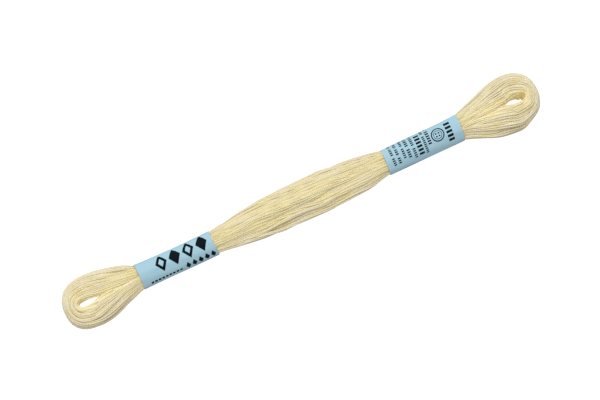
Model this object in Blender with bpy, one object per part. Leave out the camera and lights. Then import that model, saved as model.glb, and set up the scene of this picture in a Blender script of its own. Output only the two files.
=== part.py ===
"""Hank of six-strand embroidery floss held by two glued paper bands.

One length of floss is wound to and fro into a flat hank. Between the bands its two runs lie together
as one bundle, the belly. Past each band the runs part and turn round an eye, as a loop. The hank lies on
the XY plane with its length along X, +Y is its back edge, and the origin is under the middle of its length.

The hank is one closed skin. Its bundle is a row of sections across X, each of two halves. At a crotch, the
point where the halves part, every half goes on as a run of its own, and the run's sections turn round
the eye to the other half. Shallow grooves along the skin part the lengths of floss that show.
"""

import math

import bmesh
import bpy
import numpy as np

MM = 0.001
COLLECTION = "Floss hank"

# Paper bands, in millimetres.
BAND_WIDTH = 25.0
BANDS = {
    "left_band": {"x": -42.7, "y": 0.0, "half_across": 3.88},
    "right_band": {"x": 40.4, "y": -0.1, "half_across": 4.10},
}
BAND_HALF_HIGH = 3.1
BAND_AXIS_HEIGHT = 3.5
PAPER_THICKNESS = 0.3
PAPER_TO_FLOSS = 0.3
LAP_FREE_EDGE_DEG = -62.0
LAP_COVERED_EDGE_DEG = -112.0
LAP_RAMP_DEG = 9.0
BAND_OUTLINE_STEP_DEG = 4.0
BAND_SQUARENESS = 2.15


def held_by(band):
    """Back, front, low and high of the bundle under a band, where it is narrowest."""
    half_across = BANDS[band]["half_across"] - PAPER_THICKNESS - PAPER_TO_FLOSS
    half_high = BAND_HALF_HIGH - PAPER_THICKNESS - PAPER_TO_FLOSS
    middle = BANDS[band]["y"]
    edges = (middle + half_across, middle - half_across)
    return (*edges, BAND_AXIS_HEIGHT - half_high, BAND_AXIS_HEIGHT + half_high)


HELD_LEFT = held_by("left_band")
HELD_RIGHT = held_by("right_band")

# Skin of the hank: lengths of floss that show on one half of the bundle and on the wall of an eye,
# and the points that draw each of them.
LENGTHS_ON_HALF = 12
LENGTHS_ON_EYE_WALL = 3
POINTS_PER_LENGTH = 3
HALF_POINTS = LENGTHS_ON_HALF * POINTS_PER_LENGTH
EYE_POINTS = LENGTHS_ON_EYE_WALL * POINTS_PER_LENGTH
SQUARENESS = 2.2
CROTCH_WRAP_DEG = 162.0
GROOVE_DEPTH = 0.26
GROOVE_UNEVENNESS = 0.45
WANDER_DEG = 2.4
WANDER_WAVE = 34.0
SEED = 7

# Sections of the bundle across X, from one crotch to the other. back and front are its edges in Y, low and
# high its edges in Z, seam the Y of the line between its halves, and twist the turn of the whole section.
# parting is 0 where the bundle is one round form and 1 where its halves part. A low edge under 0 is pressed
# flat on the surface that the hank lies on.
BUNDLE_COLUMNS = ("x", "back", "front", "low", "high", "seam", "parting", "twist", "groove")
BUNDLE_ROWS = (
    (-67.8, 7.95, -8.0, -0.25, 6.4, 0.4, 1.00, 0.0, 1.0),
    (-64.5, 7.3, -7.2, -0.25, 6.5, 0.3, 0.72, 0.0, 1.0),
    (-61.5, 6.5, -5.7, -0.15, 6.5, 0.2, 0.45, 0.0, 1.0),
    (-58.8, 5.7, -4.9, 0.10, 6.4, 0.1, 0.26, 0.0, 0.9),
    (-56.1, 4.6, -4.0, 0.55, 6.3, 0.0, 0.10, 0.0, 0.7),
    (-55.4, *HELD_LEFT, 0.0, 0.04, 0.0, 0.4),
    (-42.7, *HELD_LEFT, 0.0, 0.00, 0.0, 0.3),
    (-30.0, *HELD_LEFT, 0.0, 0.00, 0.0, 0.4),
    (-28.9, 3.95, -3.8, 0.65, 6.3, 0.0, 0.00, 1.0, 0.7),
    (-25.0, 4.4, -4.4, 0.35, 6.5, 0.0, 0.01, 2.5, 0.9),
    (-20.0, 5.2, -5.0, 0.00, 6.8, 0.1, 0.02, 5.0, 1.0),
    (-12.0, 6.0, -5.7, -0.30, 7.2, 0.2, 0.05, 10.0, 1.0),
    (-4.0, 6.3, -5.8, -0.35, 7.4, 0.2, 0.05, 12.0, 1.0),
    (5.0, 6.3, -6.2, -0.35, 7.4, 0.0, 0.05, 8.0, 1.0),
    (13.0, 6.1, -6.0, -0.30, 7.2, -0.1, 0.04, 2.0, 1.0),
    (19.0, 5.35, -5.6, -0.05, 6.8, -0.1, 0.02, -2.0, 1.0),
    (23.5, 4.7, -4.65, 0.35, 6.5, 0.0, 0.00, -2.0, 0.9),
    (26.9, 4.3, -3.9, 0.65, 6.3, 0.0, 0.00, 0.0, 0.7),
    (27.7, *HELD_RIGHT, -0.1, 0.00, 0.0, 0.4),
    (40.4, *HELD_RIGHT, -0.1, 0.00, 0.0, 0.3),
    (53.1, *HELD_RIGHT, -0.1, 0.05, 0.0, 0.4),
    (54.2, 4.5, -4.5, 0.50, 6.4, 0.0, 0.12, 0.0, 0.7),
    (57.4, 5.5, -5.7, 0.05, 6.6, 0.0, 0.28, 0.0, 0.9),
    (61.3, 6.8, -7.7, -0.20, 6.9, 0.1, 0.50, 0.0, 1.0),
    (65.0, 8.0, -8.45, -0.25, 7.0, 0.2, 0.76, 0.0, 1.0),
    (68.4, 8.8, -8.75, -0.25, 7.0, 0.2, 1.00, 0.0, 1.0),
)
# Places of the skin's sections along the bundle: first x, last x and number of sections in each stretch.
BUNDLE_STRETCHES = (
    (-67.8, -56.1, 7),
    (-55.4, -30.0, 3),
    (-28.9, 26.9, 19),
    (27.7, 53.1, 3),
    (54.2, 68.4, 8),
)

# Sections of the run that turns round an eye, from the crotch at the back to the crotch at the front. eye and
# rim are the section's two edges in X and Y, and wrap is half the part of its outline that isn't the eye's wall.
LOOP_COLUMNS = ("eye_x", "eye_y", "rim_x", "rim_y", "low", "high", "wrap")
LEFT_LOOP_ROWS = (
    (-67.8, 0.4, -67.8, 7.95, -0.25, 6.4, CROTCH_WRAP_DEG),
    (-69.6, 1.0, -70.9, 8.1, -0.25, 6.3, 151.0),
    (-72.2, 1.2, -75.1, 7.5, -0.20, 6.2, 141.0),
    (-74.3, 0.9, -78.5, 5.0, -0.15, 6.2, 134.0),
    (-75.0, 0.2, -79.95, 1.3, -0.15, 6.3, 134.0),
    (-75.0, -0.4, -80.0, -2.0, -0.15, 6.3, 134.0),
    (-74.2, -0.9, -78.4, -6.0, -0.20, 6.3, 134.0),
    (-72.2, -0.9, -74.6, -7.9, -0.20, 6.3, 141.0),
    (-69.8, -0.3, -70.8, -8.3, -0.25, 6.3, 151.0),
    (-67.8, 0.4, -67.8, -8.0, -0.25, 6.4, CROTCH_WRAP_DEG),
)
RIGHT_LOOP_ROWS = (
    (68.4, 0.2, 68.4, 8.8, -0.25, 7.0, CROTCH_WRAP_DEG),
    (70.1, 0.8, 71.3, 9.0, -0.25, 6.9, 151.0),
    (72.6, 1.2, 75.0, 8.3, -0.20, 6.8, 141.0),
    (74.9, 1.2, 78.2, 5.9, -0.15, 6.7, 134.0),
    (75.7, 0.6, 80.0, 2.3, -0.15, 6.6, 134.0),
    (75.6, -0.2, 79.8, -1.6, -0.15, 6.6, 134.0),
    (74.6, -0.8, 77.8, -5.2, -0.20, 6.6, 134.0),
    (72.6, -0.9, 74.3, -7.6, -0.20, 6.7, 141.0),
    (70.3, -0.5, 71.0, -8.9, -0.25, 6.8, 151.0),
    (68.4, 0.2, 68.4, -8.75, -0.25, 7.0, CROTCH_WRAP_DEG),
)
LOOP_SECTIONS = 26

FLOSS_COLOUR = (0.83, 0.75, 0.49, 1.0)
PAPER_COLOUR = (0.36, 0.60, 0.74, 1.0)


def clear_scene():
    for leftover in list(bpy.data.objects):
        bpy.data.objects.remove(leftover, do_unlink=True)


def make_material(name, colour, roughness):
    material = bpy.data.materials.new(name)
    material.use_nodes = True
    shader = material.node_tree.nodes["Principled BSDF"]
    shader.inputs["Base Color"].default_value = colour
    shader.inputs["Roughness"].default_value = roughness
    shader.inputs["Metallic"].default_value = 0.0
    return material


def signed_power(value, exponent):
    """value to the exponent, keeping its sign, for the outline of a superellipse."""
    return math.copysign(abs(value) ** exponent, value)


def rounded(angle_deg, squareness):
    """(across, up) of a unit superellipse at an angle: 0 is the outer edge, 90 the top."""
    angle = math.radians(angle_deg)
    exponent = 2.0 / squareness
    return signed_power(math.cos(angle), exponent), signed_power(math.sin(angle), exponent)


def smooth_between(places, table_places, table_values):
    """Values of a table at some places, on a smooth line through its rows that doesn't overshoot them."""
    x = np.asarray(table_places, float)
    y = np.asarray(table_values, float)
    width = np.diff(x)
    slope = np.diff(y) / width
    tangent = np.zeros(len(x))
    same_way = slope[:-1] * slope[1:] > 0
    near, far = width[:-1] + 2 * width[1:], 2 * width[:-1] + width[1:]
    with np.errstate(divide="ignore", invalid="ignore"):
        mean = (near + far) / (near / slope[:-1] + far / slope[1:])
    tangent[1:-1] = np.where(same_way, mean, 0.0)
    tangent[0], tangent[-1] = slope[0], slope[-1]
    at = np.clip(places, x[0], x[-1])
    i = np.clip(np.searchsorted(x, at, side="right") - 1, 0, len(width) - 1)
    t = (at - x[i]) / width[i]
    return (
        y[i] * (1 + 2 * t) * (1 - t) ** 2
        + y[i + 1] * t * t * (3 - 2 * t)
        + tangent[i] * width[i] * t * (1 - t) ** 2
        - tangent[i + 1] * width[i] * t * t * (1 - t)
    )


def read_table(rows, columns, places, table_places):
    """One dictionary of named sizes for each place."""
    values = np.array(rows, float)
    read = {
        name: smooth_between(places, table_places, values[:, i])
        for i, name in enumerate(columns)
    }
    return [{name: float(read[name][k]) for name in columns} for k in range(len(places))]


def groove_depths():
    """Depth of the groove beside each length of floss that shows: deep ones part bunches of them."""
    unevenness = np.random.default_rng(SEED).uniform(-1, 1, HALF_POINTS + EYE_POINTS)
    depths = GROOVE_DEPTH * (1 + GROOVE_UNEVENNESS * unevenness)
    in_a_groove = np.arange(HALF_POINTS + EYE_POINTS) % POINTS_PER_LENGTH == 0
    return np.where(in_a_groove, depths, 0.0)


GROOVES = groove_depths()


def grooved(point, centre, number, share):
    """A point of a section, drawn in towards the section's centre where it lies in a groove."""
    out = np.subtract(point, centre)
    return np.asarray(point) - out / np.linalg.norm(out) * GROOVES[number] * share


def wandering(angle_deg, number, x, wrap_deg):
    """Where a length of floss has strayed to round the section. It doesn't stray at the seam."""
    stray = math.sin(2 * math.pi * x / WANDER_WAVE + 1.9 * number)
    held = max(0.0, 1 - (angle_deg / wrap_deg) ** 4)
    return angle_deg + WANDER_DEG * stray * held


def run_half(x, seam, edge, low, high):
    """Half of a section as a run of its own, an oval from the seam to the edge: (y, z) from its top inner
    point over the outer edge to its bottom inner point."""
    seam_across, _ = rounded(CROTCH_WRAP_DEG, SQUARENESS)
    reach = (edge - seam) / (1 - seam_across)
    middle = edge - reach
    height, half_high = (low + high) / 2, (high - low) / 2
    points = []
    for number in range(HALF_POINTS + 1):
        angle = CROTCH_WRAP_DEG * (1 - 2 * number / HALF_POINTS)
        across, up = rounded(wandering(angle, number, x, CROTCH_WRAP_DEG), SQUARENESS)
        points.append((middle + reach * across, height + half_high * up))
    return points


def bundle_half(x, seam, edge, low, high):
    """Half of a section as one side of a round bundle, in the same order as run_half."""
    height, half_high = (low + high) / 2, (high - low) / 2
    points = []
    for number in range(HALF_POINTS + 1):
        angle = 90 * (1 - 2 * number / HALF_POINTS)
        across, up = rounded(wandering(angle, number, x, 90), SQUARENESS)
        points.append((seam + (edge - seam) * across, height + half_high * up))
    return points


def half_section(row, edge):
    """(y, z) points of one half of a bundle section, grooved and twisted."""
    whole = bundle_half(row["x"], row["seam"], edge, row["low"], row["high"])
    parted = run_half(row["x"], row["seam"], edge, row["low"], row["high"])
    share = row["parting"]
    centre_of_whole = np.array((row["seam"], (row["low"] + row["high"]) / 2))
    centre_of_run = np.array(((row["seam"] + edge) / 2, centre_of_whole[1]))
    centre = (1 - share) * centre_of_whole + share * centre_of_run
    turn = math.radians(row["twist"])
    points = []
    for number, (one, other) in enumerate(zip(whole, parted)):
        point = (1 - share) * np.asarray(one) + share * np.asarray(other)
        y, z = grooved(point, centre, number, row["groove"]) - centre_of_whole
        points.append(
            (
                centre_of_whole[0] + y * math.cos(turn) - z * math.sin(turn),
                centre_of_whole[1] + y * math.sin(turn) + z * math.cos(turn),
            )
        )
    return points


def run_section(row):
    """Points of a section of the run round an eye: first the outer part as in half_section, then the eye's
    wall from the bottom inner point up to the top one, without those two."""
    eye = np.array((row["eye_x"], row["eye_y"]))
    rim = np.array((row["rim_x"], row["rim_y"]))
    middle, reach = (eye + rim) / 2, (rim - eye) / 2
    height, half_high = (row["low"] + row["high"]) / 2, (row["high"] - row["low"]) / 2
    wrap = row["wrap"]
    wall_steps = (360 - 2 * wrap) / EYE_POINTS
    angles = [
        wandering(wrap * (1 - 2 * number / HALF_POINTS), number, middle[0], wrap)
        for number in range(HALF_POINTS + 1)
    ]
    angles += [-wrap - wall_steps * number for number in range(1, EYE_POINTS)]
    points = []
    for number, angle in enumerate(angles):
        across, up = rounded(angle, SQUARENESS)
        flat = middle + reach * across
        point = (flat[0], flat[1], height + half_high * up)
        points.append(grooved(point, (middle[0], middle[1], height), number, 1.0))
    return points


def add_points(vertices, points):
    """Adds points to the skin, pressed flat where they would be under the surface; returns their numbers."""
    first = len(vertices)
    vertices.extend((float(x), float(y), max(0.0, float(z))) for x, y, z in points)
    return list(range(first, len(vertices)))


def join_rings(faces, one, other):
    """Four-sided faces between two closed rings of the same number of points."""
    for k in range(len(one)):
        after = (k + 1) % len(one)
        faces.append((one[k], one[after], other[after], other[k]))


def crotch_wall(vertices, half):
    """Points between the bottom and the top of the seam at a crotch, in run_section's order."""
    top, bottom = np.array(vertices[half[0]]), np.array(vertices[half[-1]])
    shares = [number / EYE_POINTS for number in range(1, EYE_POINTS)]
    return add_points(vertices, [bottom + (top - bottom) * share for share in shares])


def loop_rings(vertices, rows, back_half, front_half):
    """Rings of the run round one eye. The first and the last use the points of the bundle's two halves."""
    wall = crotch_wall(vertices, back_half)
    places = np.linspace(0, len(rows) - 1, LOOP_SECTIONS + 1)
    table = read_table(rows, LOOP_COLUMNS, places, range(len(rows)))
    rings = [back_half + wall]
    rings += [add_points(vertices, run_section(row)) for row in table[1:-1]]
    rings.append(front_half + wall)
    return rings


def make_hank(collection, material):
    """The whole hank as one closed skin."""
    vertices, faces = [], []
    places = np.concatenate([np.linspace(*stretch) for stretch in BUNDLE_STRETCHES])
    table_places = [row[0] for row in BUNDLE_ROWS]
    halves = []
    for row in read_table(BUNDLE_ROWS, BUNDLE_COLUMNS, places, table_places):
        back = [(row["x"], y, z) for y, z in half_section(row, row["back"])]
        front = [(row["x"], y, z) for y, z in half_section(row, row["front"])]
        back_numbers = add_points(vertices, back)
        inner_numbers = add_points(vertices, front[1:-1])
        halves.append((back_numbers, [back_numbers[0], *inner_numbers, back_numbers[-1]]))
    bundle = [back + front[-2:0:-1] for back, front in halves]
    for one, other in zip(bundle, bundle[1:]):
        join_rings(faces, one, other)
    for rows, (back, front) in ((LEFT_LOOP_ROWS, halves[0]), (RIGHT_LOOP_ROWS, halves[-1])):
        rings = loop_rings(vertices, rows, back, front)
        for one, other in zip(rings, rings[1:]):
            join_rings(faces, one, other)
    mesh = bpy.data.meshes.new("floss_hank")
    mesh.from_pydata([tuple(c * MM for c in v) for v in vertices], [], faces)
    face_outwards(mesh)
    mesh.materials.append(material)
    mesh.shade_smooth()
    hank = bpy.data.objects.new("floss_hank", mesh)
    collection.objects.link(hank)
    return hank


def face_outwards(mesh):
    skin = bmesh.new()
    skin.from_mesh(mesh)
    bmesh.ops.recalc_face_normals(skin, faces=skin.faces)
    skin.to_mesh(mesh)
    skin.free()


def paper_layers(angle_deg):
    """Thickness of the band at an angle round it, as a number of layers: two where its ends lap."""
    past_covered_edge = (LAP_COVERED_EDGE_DEG - angle_deg) / LAP_RAMP_DEG
    if angle_deg > LAP_FREE_EDGE_DEG or past_covered_edge > 1:
        return 1.0
    return 2.0 - max(0.0, past_covered_edge)


def band_outline(half_across, half_high, extra):
    """(y, z) points round the band's axis, moved out by extra(angle)."""
    points = []
    count = round(360 / BAND_OUTLINE_STEP_DEG)
    angles = [180 - BAND_OUTLINE_STEP_DEG * number for number in range(count)]
    just_inside_lap = LAP_FREE_EDGE_DEG - 0.01
    angles = sorted([*angles, LAP_FREE_EDGE_DEG + 0.01, just_inside_lap], reverse=True)
    for angle in angles:
        across, up = rounded(angle, BAND_SQUARENESS)
        grown = extra(angle)
        points.append(((half_across + grown) * across, (half_high + grown) * up))
    return points


def add_outline(curve, points):
    outline = curve.splines.new("POLY")
    outline.points.add(len(points) - 1)
    for place, (y, z) in zip(outline.points, points):
        place.co = (y * MM, z * MM, 0.0, 1.0)
    outline.use_cyclic_u = True


def make_band(name, collection, material):
    """A strip of paper wrapped once round the bundle, with its free end glued over its start underneath."""
    inner_across = BANDS[name]["half_across"] - PAPER_THICKNESS
    inner_high = BAND_HALF_HIGH - PAPER_THICKNESS
    curve = bpy.data.curves.new(name, "CURVE")
    curve.dimensions = "2D"
    curve.fill_mode = "BOTH"
    curve.extrude = BAND_WIDTH / 2 * MM
    outside = band_outline(inner_across, inner_high, lambda a: PAPER_THICKNESS * paper_layers(a))
    inside = band_outline(inner_across, inner_high, lambda a: 0.0)
    add_outline(curve, outside)
    add_outline(curve, inside)
    curve.materials.append(material)
    band = bpy.data.objects.new(name, curve)
    band.location = (BANDS[name]["x"] * MM, BANDS[name]["y"] * MM, BAND_AXIS_HEIGHT * MM)
    band.rotation_euler = (math.pi / 2, 0.0, math.pi / 2)
    collection.objects.link(band)
    return band


def main():
    clear_scene()
    collection = bpy.data.collections.new(COLLECTION)
    bpy.context.scene.collection.children.link(collection)
    floss = make_material("Cream cotton floss", FLOSS_COLOUR, 0.6)
    paper = make_material("Blue band paper", PAPER_COLOUR, 0.5)
    make_hank(collection, floss)
    for name in BANDS:
        make_band(name, collection, paper)


main()
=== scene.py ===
"""Looks of a hank of embroidery floss: one long six-ply floss wound in flat turns, and two paper bands."""

import functools
import math
import operator

import bpy
import numpy as np
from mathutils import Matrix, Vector
from mathutils.bvhtree import BVHTree


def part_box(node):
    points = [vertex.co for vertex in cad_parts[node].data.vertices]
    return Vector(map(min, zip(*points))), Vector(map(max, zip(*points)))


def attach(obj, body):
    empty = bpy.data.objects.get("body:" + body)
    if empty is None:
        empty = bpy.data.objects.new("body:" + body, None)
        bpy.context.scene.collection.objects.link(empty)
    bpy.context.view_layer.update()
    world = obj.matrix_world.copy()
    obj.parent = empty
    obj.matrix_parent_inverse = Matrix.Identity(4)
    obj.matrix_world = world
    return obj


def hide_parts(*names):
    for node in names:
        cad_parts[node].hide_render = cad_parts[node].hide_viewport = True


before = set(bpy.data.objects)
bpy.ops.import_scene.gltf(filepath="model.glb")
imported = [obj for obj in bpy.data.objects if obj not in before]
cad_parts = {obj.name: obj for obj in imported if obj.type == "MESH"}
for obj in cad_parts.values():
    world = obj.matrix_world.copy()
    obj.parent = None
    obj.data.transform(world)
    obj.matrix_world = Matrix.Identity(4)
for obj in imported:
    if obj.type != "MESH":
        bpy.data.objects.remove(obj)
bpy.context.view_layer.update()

MM = 0.001

# ---------------------------------------------------------------------------------------------------
# The floss. It is about 8 m of mercerised cotton in six plies, wound to and fro round two pegs into one flat
# hank. The pegs leave an eye at each end, and only the two paper bands hold the turns together.

# Its road: along the back of the hank, round the right eye, along the front and round the left eye. The road
# is a row of stations. Each is an upright plane with an inner point and an outward direction, and the hank's
# solid gives the room that the floss has there. Sizes are in mm.

TURNS = 26
BUNDLE_STEPS = 112  # from the left crotch to the right one
LOOP_STEPS = 24  # round an eye
FIRST_STATION = 20  # where the floss starts and ends, hidden in the left band
RAY_START = 40.0  # well outside the hank
BAND_AXIS_HEIGHT = 3.5
BAND_PAPER = 0.13
BAND_MARGIN = 0.4  # a band holds the floss this far past its ends
ROOM_PASSES = 2  # of smoothing, where no band holds it

# The columns are the x of the eye's crotch, the y of its middle line, and how far its inner points go out.
EYES = {"left": (-69.2, 0.3, -4.2), "right": (69.0, 0.2, 5.0)}
EYE_TURN_EASE = 0.10
PARTING_STARTS = 54.0  # where the sides of the bundle start to part, from the middle of the hank
NARROWER_LEFT_EYE = 0.5

# How far the loose floss swells past its solid: on each side, and more in the right loop.
SWELLING = {"back": 0.28, "front": 0.20, "right loop": 0.35}
RIGHT_LOOP_STARTS = 55.0
RIGHT_LOOP_EASE = 8.0  # the right loop's swelling is full after this length

# Bulges of the rim. The columns are the side, 1 for the back and -1 for the front, the x, reach and height.
BULGES = (
    (1, 1.0, 13.0, 0.10),
    (-1, -6.0, 11.0, 0.60),
    (-1, 20.0, 5.0, 0.45),
    (1, -60.0, 7.0, 0.30),
)

# Flatter places round the right tip. The columns are the heading and reach in degrees, and the depth.
RIGHT_TIP_TRIMS = (
    (22.0, 12.0, 0.35),
    (-30.0, 14.0, 0.40),
    (-71.0, 10.0, 0.60),
)

# How far an eye's wall leans in at its top or, below 0, at its foot. The columns are its back and outer end.
LEANS = {"left": (2.0, 2.0), "right": (0.8, -2.4)}
RIGHT_END_SHARE = 1.2  # the right eye's wall leans all round its outer end too
END_RISE = 1.5  # above 1, so the outer end's lean is full before the direction is quite outward


def box_of(name):
    """Two corners of a CAD node's box, in mm."""
    return [np.array(corner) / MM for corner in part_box(name)]


def stations_along_bundle():
    """Stations of one side of the bundle: x runs evenly from crotch to crotch, and the middle line of the
    hank bends a little from the line of one eye to that of the other."""
    x = np.linspace(EYES["left"][0], EYES["right"][0], BUNDLE_STEPS + 1)
    crotch = np.where(x < 0, -EYES["left"][0], EYES["right"][0])
    parting = np.clip((abs(x) - PARTING_STARTS) / (crotch - PARTING_STARTS), 0, 1)
    eye_line = np.where(x < 0, EYES["left"][1], EYES["right"][1])
    return x, eye_line * parting, parting


def stations_round_eye(eye):
    """Stations round one eye, crotch to crotch. Their inner point goes out along the eye and comes back as
    a sine, while their direction makes half a turn clockwise, slower where the inner point moves."""
    crotch, line, depth = EYES[eye]
    t = np.linspace(0, 1, LOOP_STEPS + 1)[1:-1]
    start = 90 if eye == "right" else 270
    angle = np.radians(start - 180 * (t - EYE_TURN_EASE * np.sin(2 * np.pi * t)))
    inner = np.stack([crotch + depth * np.sin(np.pi * t), np.full_like(t, line)], axis=1)
    return inner, np.stack([np.cos(angle), np.sin(angle)], axis=1)


def ray_to_hank(tree, start, direction):
    """Distance in mm from a point to the hank's skin along a direction, and the skin's normal there."""
    _, normal, _, distance = tree.ray_cast(Vector(start) * MM, Vector(direction))
    return distance / MM, normal


def solid_in_planes(inner, outward, parting):
    """The hank's solid in each station's plane: how far its wall and its rim lie from the inner point, and
    the heights of its underside and top. Level rays find the first two, and the wall is 0 where there is no
    eye. Upright rays find the others, on the middle line or, as the sides part, over one side's middle."""
    tree = BVHTree.FromObject(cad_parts["floss_hank"], bpy.context.evaluated_depsgraph_get())
    rows = []
    for point, out, part in zip(inner, outward, parting):
        flat_out = (out[0], out[1], 0.0)
        far = (point[0] + RAY_START * out[0], point[1] + RAY_START * out[1], BAND_AXIS_HEIGHT)
        rim = RAY_START - ray_to_hank(tree, far, (-out[0], -out[1], 0.0))[0]
        wall, normal = ray_to_hank(tree, (point[0], point[1], BAND_AXIS_HEIGHT), flat_out)
        wall = wall if normal.dot(Vector(flat_out)) < 0 else 0.0
        crown = wall + part * (rim - wall) / 2
        over = (point[0] + crown * out[0], point[1] + crown * out[1])
        top = RAY_START - ray_to_hank(tree, (*over, RAY_START), (0, 0, -1))[0]
        bottom = ray_to_hank(tree, (*over, -RAY_START), (0, 0, 1))[0] - RAY_START
        rows.append((wall, rim, bottom, top))
    return np.array(rows)


def swollen(shape, inner, outward, is_loop):
    """The solid's wall, rim, underside and top with the loose floss's swelling: all of it at the rim, by the
    cosine to straight across, and half of it on top. Bulges and trims are bell curves along the rim."""
    swelling = np.where(outward[:, 1] > 0, SWELLING["back"], SWELLING["front"])
    swelling += SWELLING["right loop"] * np.clip((inner[:, 0] - RIGHT_LOOP_STARTS) / RIGHT_LOOP_EASE, 0, 1)
    for side, middle, reach, height in BULGES:
        swelling += height * np.exp(-(((inner[:, 0] - middle) / reach) ** 2)) * (outward[:, 1] * side > 0)
    narrower = NARROWER_LEFT_EYE * np.clip(outward[:, 1], 0, 1) * (inner[:, 0] < 0)
    shape[:, 0] = np.maximum(shape[:, 0] - narrower, 0)
    shape[:, 1] += swelling * abs(outward[:, 1])
    heading = np.degrees(np.arctan2(outward[:, 1], outward[:, 0]))
    for angle, reach, depth in RIGHT_TIP_TRIMS:
        shape[:, 1] -= depth * np.exp(-(((heading - angle) / reach) ** 2)) * is_loop
    shape[:, 3] += swelling / 2
    return shape


def smoothed(values, passes, closed=True):
    """Each value becomes the mean of itself and its two neighbours' mean, a number of times. An open row
    keeps its two ends."""
    for _ in range(passes):
        if closed:
            values = 0.5 * values + 0.25 * (np.roll(values, 1, axis=0) + np.roll(values, -1, axis=0))
        else:
            inner = 0.5 * values[1:-1] + 0.25 * (values[2:] + values[:-2])
            values = np.concatenate([values[:1], inner, values[-1:]])
    return values


def held_by_bands(shape, inner, outward, is_loop):
    """Under a band the floss fills the paper. Elsewhere its room changes smoothly along the road."""
    held = np.zeros(len(shape), bool)
    for low, high in map(box_of, ("left_band", "right_band")):
        here = (inner[:, 0] > low[0] - BAND_MARGIN) & (inner[:, 0] < high[0] + BAND_MARGIN) & ~is_loop
        rim = np.where(outward[here, 1] > 0, high[1], -low[1]) - BAND_PAPER
        top = high[2] - BAND_PAPER
        shape[here, 1:] = np.stack(np.broadcast_arrays(rim, 2 * BAND_AXIS_HEIGHT - top, top), axis=1)
        held |= here
    return np.where(held[:, None], shape, smoothed(shape, ROOM_PASSES))


def eye_lean(inner, outward, parting):
    """How far an eye's wall leans at each station. It goes from the back's lean to the outer end's as the
    direction turns, and fades out at the eye's front, and towards the band as the runs join."""
    left = inner[:, 0] < 0
    across, along = outward[:, 1], abs(outward[:, 0])
    facing = np.clip(across + np.where(left, 0.0, RIGHT_END_SHARE * along), 0, 1)
    at_end = np.clip(END_RISE * along, 0, 1)
    back, end = np.where(left[:, None], LEANS["left"], LEANS["right"]).T
    return facing * (back * (1 - at_end) + end * at_end) * parting**2


def winding_stations():
    """Named columns with a row for each station of one turn, from the left band along the back and round to
    the left band again. Stations of the back and the front that share a plane have one section number, and
    other is the rim of the side across from them."""
    x, line, parting = stations_along_bundle()
    side = np.stack([x, line], axis=1)
    count = len(x)
    right_inner, right_out = stations_round_eye("right")
    left_inner, left_out = stations_round_eye("left")
    loops = len(right_inner)
    inner = np.concatenate([side, right_inner, side[::-1], left_inner])
    back, front = np.tile([0.0, 1.0], (count, 1)), np.tile([0.0, -1.0], (count, 1))
    outward = np.concatenate([back, right_out, front, left_out])
    parting = np.concatenate([parting, np.ones(loops), parting[::-1], np.ones(loops)])
    section = np.concatenate(
        [np.arange(count), count + np.arange(loops), np.arange(count)[::-1], count + loops + np.arange(loops)]
    )
    is_loop = np.concatenate([np.zeros(count), np.ones(loops), np.zeros(count), np.ones(loops)]) > 0
    shape = swollen(solid_in_planes(inner, outward, parting), inner, outward, is_loop)
    wall, rim, bottom, top = held_by_bands(shape, inner, outward, is_loop).T
    at_back, at_front = slice(0, count), slice(count + loops, 2 * count + loops)
    other = rim.copy()
    other[at_back], other[at_front] = rim[at_front][::-1], rim[at_back][::-1]
    table = {
        "inner": inner,
        "outward": outward,
        "parting": parting,
        "section": section,
        "sign": np.where(is_loop, 1.0, outward[:, 1]),
        "way": np.arange(len(inner)) / len(inner),
        "wall": wall,
        "width": rim - wall,
        "other": other,
        "middle": (bottom + top) / 2,
        "half_high": (top - bottom) / 2,
        "lean": eye_lean(inner, outward, parting),
    }
    return {name: np.roll(values, -FIRST_STATION, axis=0) for name, values in table.items()}


road = winding_stations()
STATIONS = len(road["section"])

# The packing. First the turns of floss and then its plies are laid in those planes, and push one another
# apart until they fill the room. A place is held as (out, up): out is 0 at the inner wall and 1 at the rim,
# and up is -1 underneath and 1 on top, so a length of floss follows the hank's swelling.

PLIES = 6
NATURAL_PLY = 0.52
PLIES_ACROSS = 3.0  # a floss is three plies thick
PLY_OVERLAP = 1.08  # a ply is drawn this much thicker than its place, as pressed threads spread
FLOSS_FILL = 0.80  # share of a section that turns of floss fill
PLY_FILL = 0.84  # share of it that plies fill
OUTLINE_AREA = 3.29  # area of a section's rounded outline over the product of its half sizes
FLOSS_ROUNDNESS = 1.18  # thickness of a floss over that of its packed place, so its plies mix with others
LOOSENESS = 0.10  # how far that varies along it
FLOSS_LAY = 60.0  # length of one turn of the six plies
LAY_DRIFT = 0.8  # how far that turn drifts, in radians
STATION_SPACING = 1.21
WANDER = 0.10  # how far a turn's place drifts
DRIFT_PASSES = {"floss": 80, "ply": 60}
BELLY_TWIST = 0.30  # radians
BELLY_REACH = 20.0
BELLY_ENDS = 60.0  # past this there is no twist at all

# Exponents of the outline, 2 for an ellipse and more for a squarer form: all over, at an eye's wall, and on
# the front flank of the bundle.
SQUARENESS = 2.2
WALL_SQUARENESS = 3.2
FLANK_SQUARENESS = 1.4

# Furrows between bunches of floss. The columns are the share of the depth, half the number of furrows round
# a section, how fast they go round it along the road, and where they start.
FURROW_DEPTH = 0.30  # share of a section's half size
FURROWS = (
    (0.6, 2.5, 1.5, 0.0),
    (0.4, 4.5, -2.0, 0.65),
)
CLEFT_DEPTH = 0.45  # share of the half height
CLEFT_WIDTH = 0.7
CLEFT_RISE = 4  # the cleft is full where a quarter of the parting is done
WALL_STEPS = 0.09  # how far a leaning wall strays from straight, as a share of its lean

# A bundle starts as rows of turns, from the lowest up, over these shares of its half height and width.
ROWS_OF_TURNS = (4, 6, 6, 6, 4)
ROWS_HEIGHT = 0.80
ROWS_WIDTH = 0.9

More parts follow.
